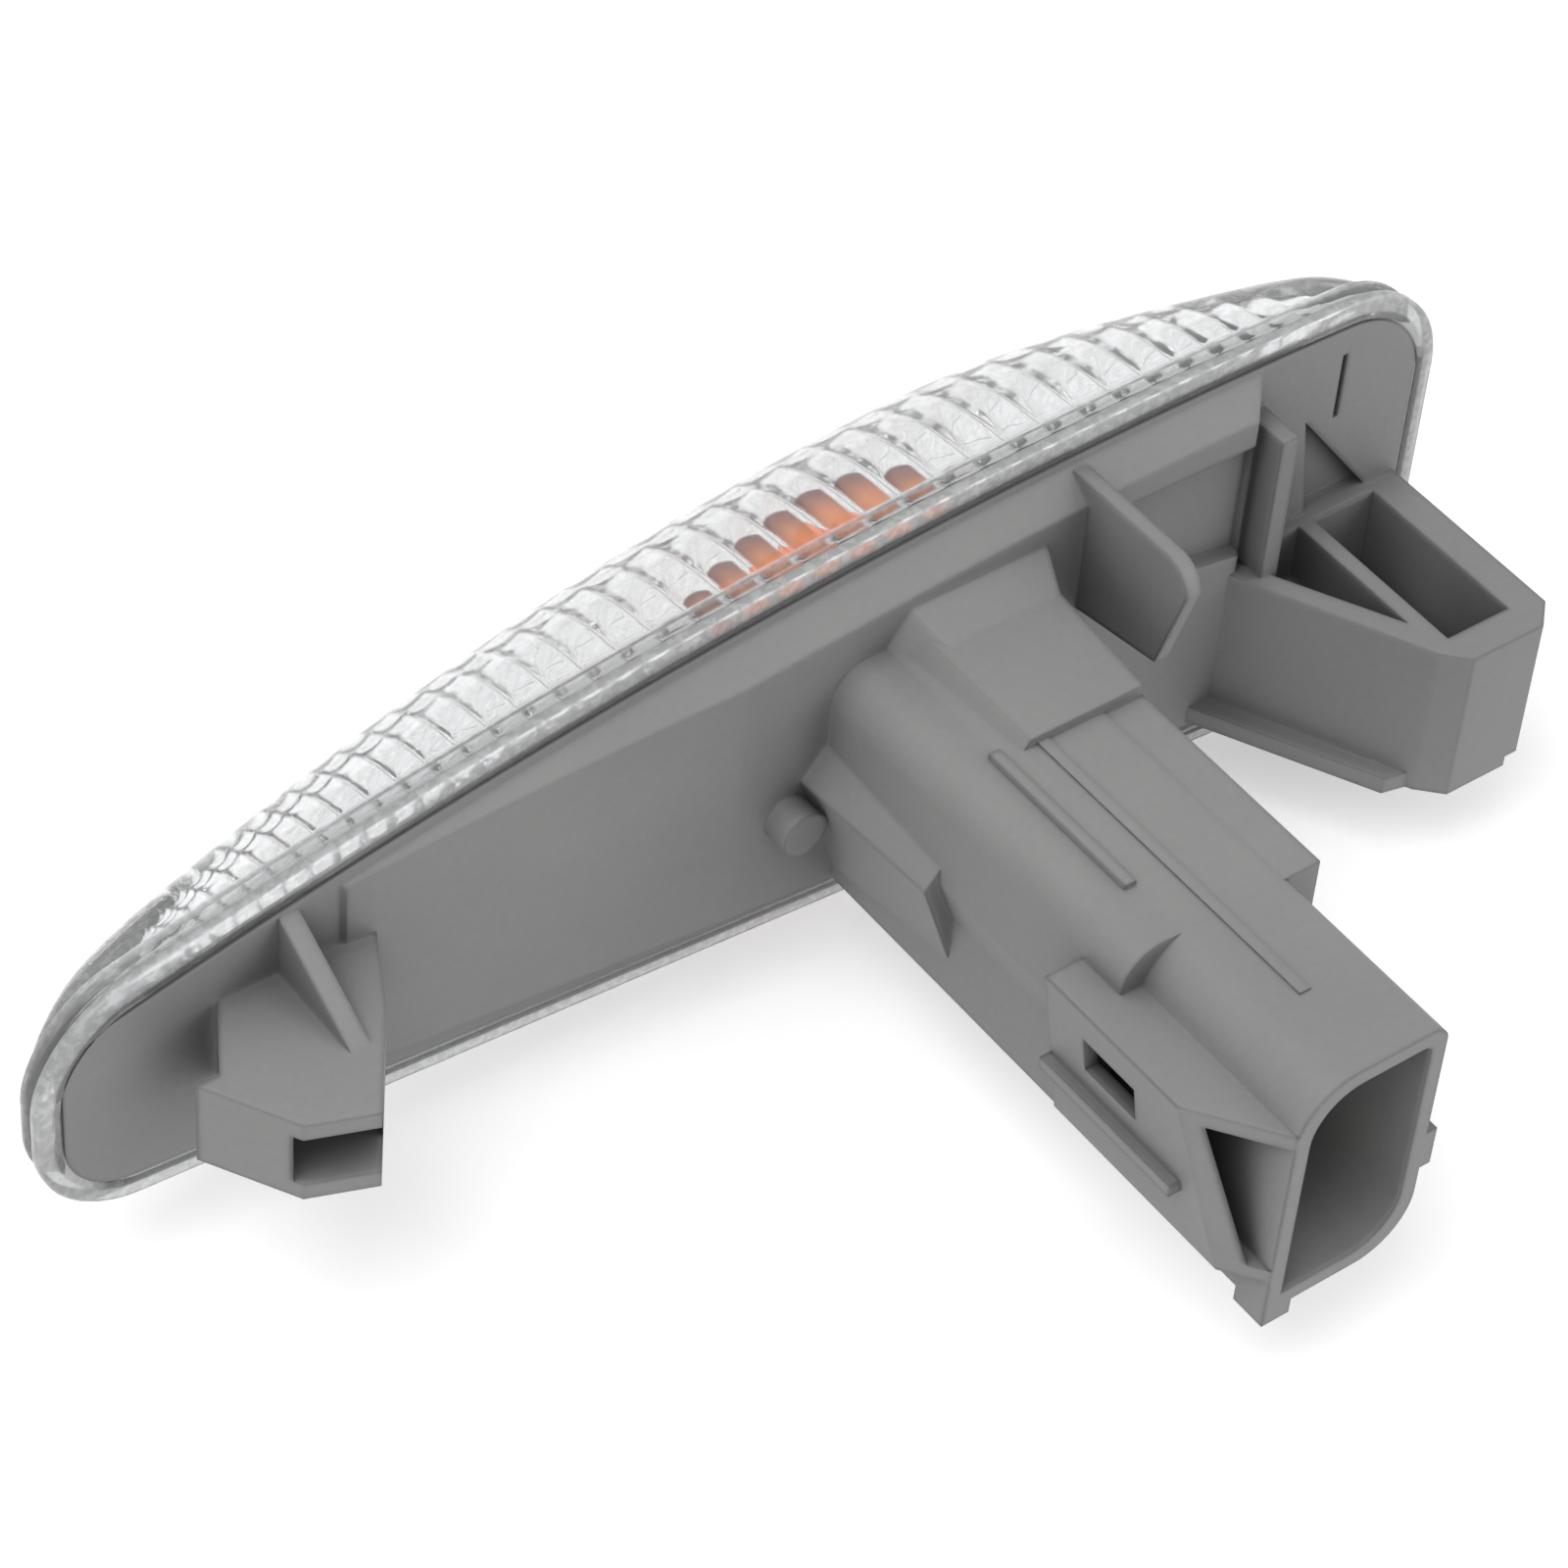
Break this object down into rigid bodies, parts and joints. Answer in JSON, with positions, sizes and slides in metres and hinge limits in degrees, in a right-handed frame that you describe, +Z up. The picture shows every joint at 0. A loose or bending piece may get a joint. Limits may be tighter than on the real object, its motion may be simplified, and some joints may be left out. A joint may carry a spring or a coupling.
{
  "type": "side indicator lamp",
  "caption": "Car side indicator lamp: tapered domed lens with inner flutes on a moulded grey housing with connector stem, clip pocket, hook bracket and an amber wedge bulb.",
  "frame": {"origin": "on the connector stem's axis, in the plane where the lens rim seats on the panel", "axes": "+X along the lamp to its narrow nose, +Y out of the back along the stem, +Z up"},
  "size_m": [0.1297, 0.0744, 0.0434],
  "materials": {
    "housing": "moulded mid grey, fine satin",
    "lens": "clear moulded plastic",
    "bulb_glass": "amber glass",
    "filament": "drawn tungsten",
    "lead": "drawn wire",
    "terminal": "tin plated strip"
  },
  "bodies": {
    "root": {"housing": "housing", "lens": "lens", "bulb_glass": "bulb_glass", "bulb_filament": "filament", "bulb_lead_left": "lead", "bulb_lead_right": "lead", "terminal_upper": "terminal", "terminal_lower": "terminal"}
  },
  "joints": []
}
